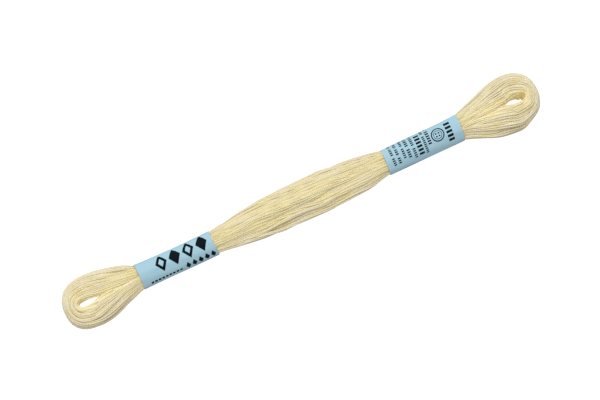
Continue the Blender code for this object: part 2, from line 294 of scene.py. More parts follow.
# The packing goes in rounds. Points nearer than a reach in mm are tested, and where they overlap, a push
# takes away a share of it.
COARSE = 4  # the turns of floss are packed at every fourth station
PAIRS_LAST = 10  # rounds, before the near pairs are found again
FLOSS_ROUNDS = 240
FLOSS_SMOOTH_ROUNDS = 220  # the rounds after these push without smoothing the road
FLOSS_NEAR = 2.2
FLOSS_PUSH = 0.9
PLY_ROUNDS = 40
PLY_NEAR = 0.8
PLY_PUSH = 0.8
PLY_DRAWN_BACK = 0.35  # share of the way back to its floss, in each round
TINY = 1e-6  # added to a distance that is divided by

# Strands shade one another, and the floss across an eye lights the eye's inner wall. Both are painted into the
# cotton: a warm colour and a faint glow where a side is closed or faces across an eye.
SHADE_NEAR = 1.1
SHADE_ENDS = 2.0  # thicknesses away
SHADE_NARROWS = 1.5  # exponent of the cosine
SHADE = 1.2
GLOW_RISE = 2.5  # the glow is full from two fifths of the parting on
GLOW_INSIDE = 1.3  # above 1, so the innermost strands all have the full glow
GLOW_FADE = 3  # how fast it fades from there to the rim
GLOW_TURNS = 0.1  # above 0, so sides that face a little outwards glow faintly

rng = np.random.default_rng(12)


def spread_over_turns(name, plies=1, step=1):
    """A station's value for every point of the whole floss, turn after turn."""
    values = np.tile(road[name][::step], (TURNS,) + (1,) * (road[name].ndim - 1))
    return values if plies == 1 else np.repeat(values, plies, axis=0)


class Room:
    """The room at each point of a long strand, and how points in it push one another and stay inside."""

    def __init__(self, plies, step):
        """The room of a section goes out to the rim and in to the other side's rim or, where the two sides
        have parted, to the wall. A strand is as thick as fills its share of that, up to its natural size."""
        for name, column in road.items():
            if column.ndim == 1:
                setattr(self, name, spread_over_turns(name, plies, step))
        self.centre = self.wall + self.parting * self.width / 2
        self.reach_out = self.width * (1 - self.parting / 2)
        self.reach_in = (1 - self.parting) * self.other + self.parting * self.width / 2
        area = OUTLINE_AREA * (self.reach_out + self.reach_in) / 2 * self.half_high
        count = TURNS * plies * (2 - self.parting)
        fill, natural = (FLOSS_FILL, NATURAL_PLY * PLIES_ACROSS) if plies == 1 else (PLY_FILL, NATURAL_PLY)
        self.size = np.minimum(np.sqrt(area * fill / count * 4 / np.pi), natural)

    def in_plane(self, place):
        """(out, up) to mm in the station's plane: across the hank or out from the eye, and height."""
        out = self.wall + place[:, 0] * self.width
        return np.stack([self.sign * out, self.middle + place[:, 1] * self.half_high], axis=1)

    def as_place(self, plane):
        """Mm in the station's plane back to (out, up)."""
        out = (self.sign * plane[:, 0] - self.wall) / self.width
        return np.stack([out, (plane[:, 1] - self.middle) / self.half_high], axis=1)

    def neighbours(self, plane, cutoff):
        """Pairs of points in one station's plane that lie nearer than the cutoff."""
        order = np.argsort(self.section, kind="stable")
        starts = np.nonzero(np.diff(self.section[order], prepend=-1))[0]
        firsts, seconds = [], []
        for members in np.split(order, starts[1:]):
            spot = plane[members]
            apart = ((spot[:, None] - spot[None]) ** 2).sum(axis=2)
            one, two = np.nonzero(np.triu(apart < cutoff**2, 1))
            firsts.append(members[one])
            seconds.append(members[two])
        return np.concatenate(firsts), np.concatenate(seconds)

    def pushed(self, plane, pairs, share, snug=None):
        """Points that overlap move apart along the line between them. Where snug is given, the six plies of
        one floss may lie that near."""
        one, two = pairs
        gap = plane[two] - plane[one]
        distance = np.sqrt((gap**2).sum(axis=1)) + TINY
        wanted = (self.size[one] + self.size[two]) / 2
        if snug is not None:
            wanted = np.where(one // PLIES == two // PLIES, np.minimum(snug[one], wanted), wanted)
        push = share * np.clip(wanted - distance, 0, None)[:, None] * gap / distance[:, None] / 2
        moved = plane.copy()
        for axis in (0, 1):
            moved[:, axis] += np.bincount(two, push[:, axis], len(plane))
            moved[:, axis] -= np.bincount(one, push[:, axis], len(plane))
        return moved

    def kept_inside(self, plane):
        """A point past the rounded outline, less its own radius, comes back to it. Towards an eye the outline
        is squarer, with a cleft on top where its two sides part, and along the bundle its front slopes down
        more evenly from the crown. Cusps of slow sines round it draw its top and underside in, as furrows
        between bunches of floss."""
        out = self.sign * plane[:, 0] - self.centre
        up = plane[:, 1] - self.middle
        reach = np.where(out > 0, self.reach_out, self.reach_in) - self.size / 2
        cleft = np.clip(CLEFT_RISE * self.parting, 0, 1) * (1 - self.parting) * (up > 0)
        cleft *= np.exp(-(((self.sign * plane[:, 0] - self.wall) / CLEFT_WIDTH) ** 2))
        high = self.half_high * (1 - CLEFT_DEPTH * cleft) - self.size / 2
        square = SQUARENESS + (WALL_SQUARENESS - SQUARENESS) * self.parting * (out < 0)
        flank = (1 - self.parting) * (plane[:, 0] < 0) * (up > 0)
        square += (FLANK_SQUARENESS - SQUARENESS) * flank
        far = (abs(out / reach) ** square + abs(up / high) ** square) ** (1 / square)
        round_it, turned = np.arctan2(up / high, out / reach), 2 * np.pi * self.way
        cusps = sum(
            share * (1 - abs(np.sin(waves * round_it + turning * turned + start))) ** 2
            for share, waves, turning, start in FURROWS
        )
        cusps *= FURROW_DEPTH * (1 - self.parting / 2) * abs(np.sin(round_it))
        shrink = np.maximum(far / (1 - cusps), 1)
        return np.stack([self.sign * (self.centre + out / shrink), self.middle + up / shrink], axis=1)

    def bareness(self, plane, angles):
        """How open each side of a strand is, from 0 to 1. Each near strand shuts the sides that face it, by
        how near it is times the cosine to it, and the shares add up in an exponent."""
        pairs = self.neighbours(plane, SHADE_NEAR)
        bare = []
        for angle in angles:
            facing = np.stack([self.sign * math.cos(angle), np.full(len(plane), math.sin(angle))], axis=1)
            shut = np.zeros(len(plane))
            for one, two in (pairs, pairs[::-1]):
                gap = plane[two] - plane[one]
                distance = np.sqrt((gap**2).sum(axis=1)) + TINY
                near = np.clip(SHADE_ENDS - distance / self.size[one], 0, 1)
                cosine = np.clip((gap * facing[one]).sum(axis=1) / distance, 0, 1)
                shut += np.bincount(one, near * cosine**SHADE_NARROWS, len(plane))
            bare.append(np.exp(-SHADE * shut))
        return np.stack(bare, axis=1)

    def depth(self, plane):
        """How far in from the hank's rim a strand lies: 0 at the rim, and from half way in 1 in the bundle
        and half that in the loops."""
        out = self.as_place(plane)[:, 0]
        return np.clip(2 - 2 * np.maximum(out, -out * (1 - self.parting)), 0, 1) * (1 - self.parting / 2)

    def glow(self, plane, angles):
        """How much painted glow each side gets, standing in for light from the floss across the eye or the
        crotch, from 0 to 1: all of it where a side of an inner strand faces inwards."""
        inside = np.clip(GLOW_INSIDE - GLOW_FADE * self.as_place(plane)[:, 0], 0, 1)
        near_eye = np.clip(GLOW_RISE * self.parting, 0, 1) * inside
        return near_eye[:, None] * np.clip(GLOW_TURNS - np.cos(angles), 0, 1)


def rows_of_turns():
    """Places of the turns in a round bundle, laid in rows and to and fro so that each is beside the last."""
    middle_row = len(ROWS_OF_TURNS) // 2
    places = []
    for number, count in enumerate(ROWS_OF_TURNS):
        up = ROWS_HEIGHT * (number - middle_row) / middle_row
        half = math.sqrt(1 - up * up) * ROWS_WIDTH
        row = [(0.5 + 0.5 * half * (2 * (k + 0.5) / count - 1), up) for k in range(count)]
        places += row if number % 2 else row[::-1]
    return np.array(places)


def drift(size, kind):
    """Smooth random drift along a strand, with a spread of 1."""
    values = smoothed(rng.normal(size=size), DRIFT_PASSES[kind], closed=False)
    return values / values.std()


def packed_floss():
    """Places of the whole floss, at every COARSE-th station. Each turn drifts over to the place of the next
    one. The bundle is twisted a little in its belly, as a bell curve of x, and then pushing and smoothing
    take turns."""
    room = Room(1, COARSE)
    steps = STATIONS // COARSE
    start = rows_of_turns()
    ends = np.concatenate([start, start[-1:]])
    along = np.arange(TURNS * steps) / steps
    whole = along.astype(int)
    share = (along - whole)[:, None]
    place = ends[whole] * (1 - share) + ends[whole + 1] * share
    place += drift((len(place), 2), "floss") * WANDER
    x = np.tile(road["inner"][::COARSE, 0], TURNS)
    turn = BELLY_TWIST * np.exp(-((x / BELLY_REACH) ** 2)) * (abs(x) < BELLY_ENDS)
    across, up = room.sign * place[:, 0], place[:, 1]
    across, up = across * np.cos(turn) - up * np.sin(turn), across * np.sin(turn) + up * np.cos(turn)
    place = np.stack([room.sign * across, up], axis=1)
    for number in range(FLOSS_ROUNDS):
        plane = room.kept_inside(room.in_plane(place))
        if number % PAIRS_LAST == 0:
            pairs = room.neighbours(plane, FLOSS_NEAR)
        plane = room.kept_inside(room.pushed(plane, pairs, FLOSS_PUSH))
        place = room.as_place(plane)
        if number < FLOSS_SMOOTH_ROUNDS:
            place = smoothed(place, 1, closed=False)
    return place


def refined(place):
    """The floss's places at every station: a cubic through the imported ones, whose slope at each is that from
    the one before to the one after."""
    last = len(place) - 1
    at = np.minimum(np.arange(TURNS * STATIONS) / COARSE, last)
    i = np.minimum(at.astype(int), last - 1)
    t = (at - i)[:, None]
    before, after = place[np.maximum(i - 1, 0)], place[np.minimum(i + 2, last)]
    here, there = place[i], place[i + 1]
    return 0.5 * (
        2 * here
        + (there - before) * t
        + (2 * before - 5 * here + 4 * there - after) * t**2
        + (3 * (here - there) + after - before) * t**3
    )


def packed_plies(floss):
    """Places of six plies, five of them round the sixth with a slow twist. They push all other plies apart,
    and are drawn back to their own floss."""
    room = Room(PLIES, 1)
    one = Room(1, 1)
    middle = np.repeat(one.in_plane(floss), PLIES, axis=0)
    points = len(floss)
    length = np.arange(points) * STATION_SPACING
    angle = 2 * np.pi * length / FLOSS_LAY + drift(points, "ply") * LAY_DRIFT
    ply = np.tile(np.arange(PLIES), points)
    turned = np.repeat(angle, PLIES) + ply * 2 * np.pi / (PLIES - 1)
    loose = np.repeat((FLOSS_ROUNDNESS + drift(points, "ply") * LOOSENESS) * one.size, PLIES)
    snug = (loose - PLY_OVERLAP * room.size) / 2
    away = np.where(ply == PLIES - 1, 0.0, snug)
    offset = np.stack([np.cos(turned), np.sin(turned)], axis=1) * away[:, None]
    offset[:, 0] *= room.sign
    plane = middle + offset
    for number in range(PLY_ROUNDS):
        if number % PAIRS_LAST == 0:
            pairs = room.neighbours(plane, PLY_NEAR)
        plane = room.pushed(plane, pairs, PLY_PUSH, snug)
        groups = plane.reshape(points, PLIES, 2)
        centre = np.repeat(groups.mean(axis=1), PLIES, axis=0)
        plane += PLY_DRAWN_BACK * (centre + offset - plane)
        plane = room.kept_inside(plane)
        away_from_target = (room.as_place(plane) - room.as_place(middle + offset)).reshape(points, -1)
        eased = smoothed(away_from_target, 1, closed=False).reshape(-1, 2)
        plane = room.in_plane(room.as_place(middle + offset) + eased)
    return room.kept_inside(plane), room


def strands_in_space(plane, room):
    """Points in the stations' planes to points in space, in mm, and each one's outward direction. The inner
    side of a leaning wall moves in by its lean times its height above or below the middle, in two steps, as
    one roll of floss on another."""
    inner = spread_over_turns("inner", PLIES)
    outward = spread_over_turns("outward", PLIES)
    place = room.as_place(plane)
    raised = np.clip(place[:, 1] * np.sign(room.lean), 0, 1)
    raised += WALL_STEPS * np.sin(4 * np.pi * raised)
    moved_in = abs(room.lean) * raised * np.clip(1 - place[:, 0], 0, 1)
    out = room.sign * plane[:, 0] - moved_in
    flat = inner + outward * out[:, None]
    return np.concatenate([flat, plane[:, 1:]], axis=1), outward


ply_plane, ply_room = packed_plies(refined(packed_floss()))
ply_points, ply_outward = strands_in_space(ply_plane, ply_room)
shape = (TURNS * STATIONS, PLIES)
ply_points = ply_points.reshape(*shape, 3)
ply_outward = ply_outward.reshape(*shape, 2)
ply_radius = ply_room.size.reshape(shape) * PLY_OVERLAP / 2

# The plies as slim tubes. The turns are shared among a few meshes, cut inside the left band.

TUBE_SIDES = 6
MESHES = 4
GOLDEN_SHARE = 0.618034  # spreads the tones of the plies evenly
side_angles = np.arange(TUBE_SIDES) * 2 * np.pi / TUBE_SIDES
ply_bareness = ply_room.bareness(ply_plane, side_angles).reshape(*shape, TUBE_SIDES)
ply_glow = ply_room.glow(ply_plane, side_angles).reshape(*shape, TUBE_SIDES)
ply_depth = ply_room.depth(ply_plane).reshape(shape)


def tube(points, outward, radius):
    """A closed tube: rings of points at equal angles in each station's plane, with a fan over each end.
    Returns vertices, faces and each ring's way along the tube in mm."""
    rings = len(points)
    across, up = np.cos(side_angles), np.sin(side_angles)
    flat = outward[:, None] * across[None, :, None] * radius[:, None, None]
    rise = np.broadcast_to(up[None, :, None] * radius[:, None, None], (rings, TUBE_SIDES, 1))
    skin = points[:, None] + np.concatenate([flat, rise], axis=2)
    vertices = np.concatenate([skin.reshape(-1, 3), points[:1], points[-1:]])
    ring, side = np.meshgrid(np.arange(rings - 1), np.arange(TUBE_SIDES), indexing="ij")
    here, after = ring * TUBE_SIDES + side, ring * TUBE_SIDES + (side + 1) % TUBE_SIDES
    walls = np.stack([here, here + TUBE_SIDES, after + TUBE_SIDES, after], axis=2).reshape(-1, 4)
    side = np.arange(TUBE_SIDES)
    beside = (side + 1) % TUBE_SIDES
    last_ring, first_tip = (rings - 1) * TUBE_SIDES, rings * TUBE_SIDES
    start = np.stack([side, beside, np.full(TUBE_SIDES, first_tip)], axis=1)
    end = np.stack([last_ring + beside, last_ring + side, np.full(TUBE_SIDES, first_tip + 1)], axis=1)
    steps = np.sqrt((np.diff(points, axis=0) ** 2).sum(axis=1))
    return vertices, walls, np.concatenate([start, end]), np.concatenate([[0], np.cumsum(steps)])


def mesh_of_tubes(name, tubes):
    """One mesh of many tubes, with a UV map of turns round the ply and mm along it, a tone per ply, and how
    bare each point lies, how much painted glow it has and how deep in the hank it is."""
    vertices, corners, sizes, yarn, tones, bared, glows, depths = [], [], [], [], [], [], [], []
    first = 0
    for number, (points, outward, radius, bareness, glow, depth) in enumerate(tubes):
        skin, walls, caps, way = tube(points, outward, radius)
        between = len(points) - 1
        side = np.tile(np.arange(TUBE_SIDES), between)[:, None]
        ring = np.repeat(np.arange(between), TUBE_SIDES)[:, None]
        u = (side + np.array([0, 0, 1, 1])) / TUBE_SIDES
        v = way[ring + np.array([0, 1, 1, 0])]
        yarn.append(np.stack([u, v], axis=2).reshape(-1, 2))
        yarn.append(np.zeros((caps.size, 2)))
        vertices.append(skin)
        corners += [(walls + first).ravel(), (caps + first).ravel()]
        sizes += [np.full(len(walls), 4), np.full(len(caps), 3)]
        tones.append(np.full(len(skin), number * GOLDEN_SHARE % 1))
        bared.append(np.concatenate([bareness.ravel(), bareness[[0, -1], 0]]))
        glows.append(np.concatenate([glow.ravel(), glow[[0, -1], 0]]))
        depths.append(np.concatenate([np.repeat(depth, TUBE_SIDES), depth[[0, -1]]]))
        first += len(skin)
    vertices, corners, sizes = map(np.concatenate, (vertices, corners, sizes))
    mesh = bpy.data.meshes.new(name)
    mesh.vertices.add(len(vertices))
    mesh.vertices.foreach_set("co", (vertices * MM).ravel())
    mesh.loops.add(len(corners))
    mesh.loops.foreach_set("vertex_index", corners.astype(np.int32))
    mesh.polygons.add(len(sizes))
    mesh.polygons.foreach_set("loop_start", np.concatenate([[0], np.cumsum(sizes)[:-1]]).astype(np.int32))
    mesh.update(calc_edges=True)
    layer = mesh.uv_layers.new(name="yarn")
    layer.data.foreach_set("uv", np.concatenate(yarn).ravel())
    for title, values in (("tone", tones), ("bared", bared), ("glow", glows), ("depth", depths)):
        attribute = mesh.attributes.new(title, "FLOAT", "POINT")
        attribute.data.foreach_set("value", np.concatenate(values).astype(np.float32))
    mesh.shade_smooth()
    mesh.validate()
    return mesh


class Wire:
    """A shader socket whose arithmetic adds Math nodes. A comparison gives 1 or 0, & is both and | either."""

    def __init__(self, tree, socket):
        self.tree, self.socket = tree, socket

    def math(self, operation, *values):
        """Adds a Math node that takes these values or wires."""
        node = self.tree.nodes.new("ShaderNodeMath")
        node.operation = operation
        for slot, value in zip(node.inputs, values):
            if isinstance(value, Wire):
                self.tree.links.new(value.socket, slot)
            else:
                slot.default_value = value
        return Wire(self.tree, node.outputs[0])

    def __add__(self, other):
        return self.math("ADD", self, other)

    def __radd__(self, other):
        return self.math("ADD", other, self)

    def __sub__(self, other):
        return self.math("SUBTRACT", self, other)

    def __rsub__(self, other):
        return self.math("SUBTRACT", other, self)

    def __mul__(self, other):
        return self.math("MULTIPLY", self, other)

    def __rmul__(self, other):
        return self.math("MULTIPLY", other, self)

    def __truediv__(self, other):
        return self.math("DIVIDE", self, other)

    def __mod__(self, other):
        return self.math("FLOORED_MODULO", self, other)

    def __abs__(self):
        return self.math("ABSOLUTE", self)

    def __lt__(self, other):
        return self.math("LESS_THAN", self, other)

    def __gt__(self, other):
        return self.math("GREATER_THAN", self, other)

    def __and__(self, other):
        return self.math("MULTIPLY", self, other)

    def __or__(self, other):
        return self.math("MAXIMUM", self, other)

    def clipped(self):
        """The value kept between 0 and 1."""
        return self.math("MINIMUM", self.math("MAXIMUM", self, 0.0), 1.0)

    def wave(self, period):
        """A sine of the value, from 0 to 1."""
        return self.math("SINE", self * (2 * math.pi / period)) * 0.5 + 0.5


class Finish:
    """A material with one Principled shader, whose constant sockets are given by name, and a short way to add
    nodes to it."""

    def __init__(self, name, constants):
        self.material = bpy.data.materials.new(name)
        self.material.use_nodes = True
        self.tree = self.material.node_tree
        self.shader = self.tree.nodes["Principled BSDF"]
        for key, value in constants.items():
            self.shader.inputs[key].default_value = value

    def node(self, kind, settings, sockets, output=0):
        """Adds a node: its settings first, then the values or wires of its sockets, by name or number. Gives
        the wire of one output."""
        node = self.tree.nodes.new(kind)
        for key, value in settings.items():
            setattr(node, key, value)
        for key, value in sockets.items():
            if isinstance(value, Wire):
                self.tree.links.new(value.socket, node.inputs[key])
            else:
                node.inputs[key].default_value = value
        return Wire(self.tree, node.outputs[output])

    def attribute(self, name):
        """A value that the mesh holds at its points."""
        return self.node("ShaderNodeAttribute", {"attribute_name": name}, {}, "Fac")

    def map_parts(self, name):
        """The two parts of a UV map."""
        place = self.node("ShaderNodeUVMap", {"uv_map": name}, {})
        first = self.node("ShaderNodeSeparateXYZ", {}, {"Vector": place}, "X")
        return first, Wire(self.tree, first.socket.node.outputs["Y"])

    def mix(self, factor, one, two):
        """Colour one where factor is 0 and two where it is 1."""
        return self.node("ShaderNodeMix", {"data_type": "RGBA"}, {0: factor, 6: one, 7: two}, 2)

    def feed(self, socket, wire):
        """Leads a wire to one of the shader's sockets."""
        self.tree.links.new(wire.socket, self.shader.inputs[socket])


# The cotton's colours. Its threads come paler and warmer, each dull or fresh, and painted warmer deep in the
# hank. The rest are painted shade and painted light.
DULL_PALE, DULL_WARM = (0.705, 0.64, 0.458, 1), (0.69, 0.603, 0.33, 1)
FRESH_PALE, FRESH_WARM = (0.75, 0.689, 0.512, 1), (0.735, 0.653, 0.387, 1)
# Painted shade: the darker, warmer colour in the grooves between a ply's two threads.
SHADE_BETWEEN_THREADS = (0.62, 0.50, 0.24, 1)
# Painted light: the warm, bright colour given to closed furrows and eye walls, for light scattered between
# fibres.
PAINTED_LIGHT_IN_FURROWS = (0.90, 0.79, 0.44, 1)
# Painted glow: an emission in closed furrows and on the eyes' inner walls, though the cotton is no lamp.
UNLIT = (0, 0, 0, 1)
PAINTED_GLOW = (1.0, 0.83, 0.40, 1)
PAINTED_GLOW_STRENGTH = 0.12
FURROW_GLOW = 0.3  # share of that light in a closed furrow
GLOW_SHARE = 0.9  # share of it across an eye
BARE_GAIN = 1.5  # a side looks fully open from two thirds bare on

THREADS = 2
THREAD_LAY = 1.5  # mm along a ply from groove to groove
THREAD_GROOVE = 0.06  # share of the groove's colour that shows between threads
FLECK_LENGTH = 4  # mm
FLECK_PLIES = 40  # sets the plies' flecks far apart in the noise
FLECK_WANDER = 1.2  # how far the grooves wander with the flecks
TONE_SHARE = 0.3  # share of a thread's freshness that it has all along
PATCHES_PER_M = (130.0, 420.0, 420.0)
PATCH_CONTRAST = 3.0
# Painted warmth deep in the hank, for the warmer light in its creases; the slow patches are real tone.
PAINTED_DEPTH_WARMTH = 0.8


def cotton_finish():
    """Cream mercerised cotton. Each ply is two threads twisted together, so slanting grooves run round it,
    with painted shade between the threads, and the colour varies a little from ply to ply and along it. It is
    yellower in slow patches, and painted yellower deep in the hank. Light that has gone from fibre to fibre,
    in the furrows and across the eyes, is painted in: a deeper, warmer base colour and a faint painted glow."""
    constants = {
        "Roughness": 0.7,
        "Sheen Weight": 0.9,
        "Sheen Roughness": 0.35,
        "Specular IOR Level": 0.15,
        "Emission Strength": PAINTED_GLOW_STRENGTH,
    }
    cotton = Finish("Cream cotton floss", constants)
    u, v = cotton.map_parts("yarn")
    tone, bared, glow, depth = map(cotton.attribute, ("tone", "bared", "glow", "depth"))
    strand = cotton.node("ShaderNodeCombineXYZ", {}, {"X": v / FLECK_LENGTH, "Y": tone * FLECK_PLIES})
    fleck = cotton.node("ShaderNodeTexNoise", {}, {"Vector": strand, "Scale": 1.0, "Detail": 2.0})
    slant = (u * THREADS + v / THREAD_LAY + fleck * FLECK_WANDER).wave(1.0)
    place = cotton.node("ShaderNodeTexCoord", {}, {}, "Object")
    stretched = cotton.node("ShaderNodeMapping", {}, {"Vector": place, "Scale": PATCHES_PER_M})
    patch = cotton.node("ShaderNodeTexNoise", {}, {"Vector": stretched, "Scale": 1.0, "Detail": 1.0})
    # Real slow patches of tone, plus painted warmth that grows with depth in the hank.
    warm = ((patch - 0.5) * PATCH_CONTRAST + depth * PAINTED_DEPTH_WARMTH).clipped()
    dull = cotton.mix(warm, DULL_PALE, DULL_WARM)
    fresh = cotton.mix(warm, FRESH_PALE, FRESH_WARM)
    tint = cotton.mix(tone * TONE_SHARE + fleck * (1 - TONE_SHARE), dull, fresh)
    # Painted shade in the slant grooves between the threads; the bump below gives their real relief.
    thread = cotton.mix(slant * THREAD_GROOVE + (1 - THREAD_GROOVE), SHADE_BETWEEN_THREADS, tint)
    # Where a side is closed or faces across an eye, the base colour turns to the painted furrow light.
    open_to_light = (bared * BARE_GAIN).clipped() * (1 - glow * GLOW_SHARE)
    cotton.feed("Base Color", cotton.mix(open_to_light, PAINTED_LIGHT_IN_FURROWS, thread))
    # Painted glow, strongest on the eyes' inner walls and fainter in closed furrows.
    painted_glow_share = (glow * GLOW_SHARE) | ((1 - bared) * FURROW_GLOW)
    cotton.feed("Emission Color", cotton.mix(painted_glow_share, UNLIT, PAINTED_GLOW))
    groove = {"Strength": 0.1, "Distance": 0.05 * MM, "Height": slant}
    cotton.feed("Normal", cotton.node("ShaderNodeBump", {}, groove))
    return cotton.material


cotton = cotton_finish()
ply_columns = (ply_points, ply_outward, ply_radius, ply_bareness, ply_glow, ply_depth)
for number in range(MESHES):
    first = number * TURNS // MESHES * STATIONS
    last = min((number + 1) * TURNS // MESHES * STATIONS + 1, TURNS * STATIONS)
    tubes = [tuple(values[first:last, k] for values in ply_columns) for k in range(PLIES)]
    mesh = mesh_of_tubes(f"floss_turns_{number + 1}", tubes)
    mesh.materials.append(cotton)
    turns = bpy.data.objects.new(mesh.name, mesh)
    bpy.context.scene.collection.objects.link(turns)
    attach(turns, "root")
    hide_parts("floss_hank")


# ---------------------------------------------------------------------------------------------------
# The paper bands. Each is a strip of light blue paper 25 mm wide, wrapped once round the floss and glued
# to itself underneath. It is printed in black with plain marks.

STRIP_TURNS = 1 + 50 / 360  # with the lap
STRIP_START_DEG = -112.0
AROUND_STEPS = 150
ALONG_STEPS = 20
STRIP_INSET = 0.05  # the paper's outer face stays this far inside its solid's box
LAP_STARTS = 0.97  # turns
LAP_EASE = 0.05  # turns
LAP_GAP = 0.03
BAND_FLANK = 1.6  # exponent of the outline on the front flank
FLARE_REACH = 5.0
SHARP_EDGE_DEG = 40

# The left and right end of each strip. The columns are x, how far its back is skewed past its front, how far
# its crown stands past them, and how far its back edge flares out.
STRIP_ENDS = {
    "left_band": ((-54.98, 0.0, 0.0, 0.45), (-29.92, 0.0, -0.45, 0.1)),
    "right_band": ((27.85, 0.25, 0.0, 0.0), (53.2, 0.5, 0.1, 0.3)),
}

# Dents in the paper, as sines. The columns are the height, the waves round it, the radians per mm along it,
# and what its left end's x is multiplied by for the start, so that the two strips differ.
DENTS = (
    (0.035, 5, 0.15, 1),
    (0.030, 9, -0.31, 2),
)


def closed_strip_faces(rows, columns):
    """Faces of two like sheets of points, outer first, with four narrow edges between them."""
    i, j = np.meshgrid(np.arange(rows - 1), np.arange(columns - 1), indexing="ij")
    here = (i * columns + j).ravel()
    outer = np.stack([here, here + 1, here + columns + 1, here + columns], axis=1)
    sheet = rows * columns
    inner = outer[:, ::-1] + sheet
    rim = np.concatenate(
        [
            np.arange(columns),
            np.arange(1, rows) * columns + columns - 1,
            (rows - 1) * columns + np.arange(columns - 2, -1, -1),
            np.arange(rows - 2, 0, -1) * columns,
        ]
    )
    following = np.roll(rim, -1)
    edge = np.stack([following, rim, rim + sheet, following + sheet], axis=1)
    return np.concatenate([outer, inner, edge])


def paper_strip(name):
    """A band: an angle runs once round and on under the lap, the strip's radius grows by a paper's
    thickness over the lap, and slow sines dent it a little. Its outline is a circle's sine and cosine raised
    to powers that square it off. The skew and crown shift change evenly from end to end, and a flare dies
    out along the band. The UV map holds mm round the band from its top and mm along it from its middle."""
    low, high = box_of(name)
    (left, *left_shift, left_flare), (right, *right_shift, right_flare) = STRIP_ENDS[name]
    centre, half_across = (low[1] + high[1]) / 2, (high[1] - low[1]) / 2 - STRIP_INSET
    half_high = high[2] - STRIP_INSET - BAND_AXIS_HEIGHT
    w = np.linspace(0, 1, AROUND_STEPS + 1)
    x = np.linspace(left, right, ALONG_STEPS + 1)
    angle = np.radians(STRIP_START_DEG) - 2 * np.pi * STRIP_TURNS * w
    lap = np.clip((w * STRIP_TURNS - LAP_STARTS) / LAP_EASE, 0, 1)
    lift = (BAND_PAPER + LAP_GAP) * lap * lap * (3 - 2 * lap)
    across, up = np.cos(angle), np.sin(angle)
    power = np.where((across < 0) & (up > 0), 2 / BAND_FLANK, 2 / SQUARENESS)
    across, up = np.sign(across) * abs(across) ** power, np.sign(up) * abs(up) ** power
    skew, crown_shift = np.linspace(left_shift, right_shift, ALONG_STEPS + 1).T
    strip_x = x + skew * across[:, None] / 2 + crown_shift * np.clip(up, 0, 1)[:, None]
    dent = sum(
        height * np.sin(waves * angle[:, None] + along * x + start * left)
        for height, waves, along, start in DENTS
    )
    flare = left_flare * np.exp((left - x) / FLARE_REACH) + right_flare * np.exp((x - right) / FLARE_REACH)
    dent = dent + flare * np.clip(across, 0, 1)[:, None]
    sheets = []
    for depth in (0.0, BAND_PAPER):
        grown = lift[:, None] + dent - depth
        y = centre + (half_across + grown) * across[:, None]
        z = BAND_AXIS_HEIGHT + (half_high + grown) * up[:, None]
        sheets.append(np.stack([strip_x, y, z], axis=2))
    rows, columns = sheets[0].shape[:2]
    vertices = np.concatenate([sheet.reshape(-1, 3) for sheet in sheets])
    mesh = bpy.data.meshes.new(name + "_paper")
    mesh.from_pydata((vertices * MM).tolist(), [], closed_strip_faces(rows, columns).tolist())
    around = np.concatenate([[0], np.cumsum(np.hypot(*np.diff(sheets[0][:, 0, 1:], axis=0).T))])
    top_angle = np.pi / 2 - 2 * np.pi
    top = np.interp(top_angle, angle[::-1], around[::-1])
    print_u = np.tile(np.repeat(around - top, columns), 2)
    print_v = np.tile(x - (left + right) / 2, rows * 2)
    layer = mesh.uv_layers.new(name="print")
    corner = np.empty(len(mesh.loops), np.int32)
    mesh.loops.foreach_get("vertex_index", corner)
    layer.data.foreach_set("uv", np.stack([print_u, print_v], axis=1)[corner].ravel())
    mesh.shade_smooth()
    mesh.set_sharp_from_angle(angle=math.radians(SHARP_EDGE_DEG))
    return mesh


# The prints, in mm: u goes round a band from its top towards its back, and v along it from its middle.

# The left band has a row of lozenges on a line that rises a little, then stitches and beads on a lower line.
# Half sizes are along and across the band.
LOZENGES_AT = (-4.8, -0.2, 4.4, 9.0)
LOZENGE_HALF = (1.95, 2.9)
LOZENGE_LINE = 0.75
LOZENGE_LINE_RISE = 0.03
LOZENGE_HOLLOW = 0.48  # share of an open lozenge's size
LOWER_LINE = -4.15
STITCHES_FROM, STITCHES_TO = -10.0, 0.8
STITCH_PITCH = 1.2
STITCH_LENGTH = 0.85
STITCH_HALF = 0.36
BEADS_FROM, BEADS_TO = 1.55, 12.05
BEAD_PITCH = 2.1
BEAD_HALF = (0.85, 1.25)
BEAD_RAISED = 0.25

# The right band has rows of short strokes. The columns are the row's place along the band, half its height,
# the pitch of its strokes, its front end, and the strokes in a group.
STROKE_ROWS = (
    (8.8, 0.95, 1.30, -3.35, 5),
    (2.0, 0.55, 0.80, -1.5, 6),
    (0.5, 0.42, 0.62, -3.6, 9),
    (-1.3, 0.85, 1.15, -3.3, 6),
    (-3.3, 0.45, 0.66, -3.5, 5),
    (-5.1, 0.50, 0.72, -2.6, 4),
    (-6.7, 0.42, 0.66, -2.1, 5),
    (-8.6, 0.45, 0.70, -3.0, 3),
    (-10.3, 0.42, 0.66, -3.05, 4),
)
STROKE_SHARE = 0.62  # of a pitch
GROUP_GAP = 0.7  # pitches
GROUP_TRIM = 0.1  # pitches
STROKES_END = 7.0
BUTTON_U, BUTTON_V = 0.2, 5.1
BUTTON_RINGS = ((1.95, 0.18), (1.3, 0.09))  # the columns are the radius and half the line's width
HOLE_OFFSET = 0.45
HOLE_RADIUS = 0.27


def either(masks):
    """1 where any of the masks is."""
    return functools.reduce(operator.or_, masks)


def lozenge(along, across, half):
    """0 at a lozenge's middle and 1 on its edge."""
    half_along, half_across = half
    return abs(along) / half_along + abs(across) / half_across


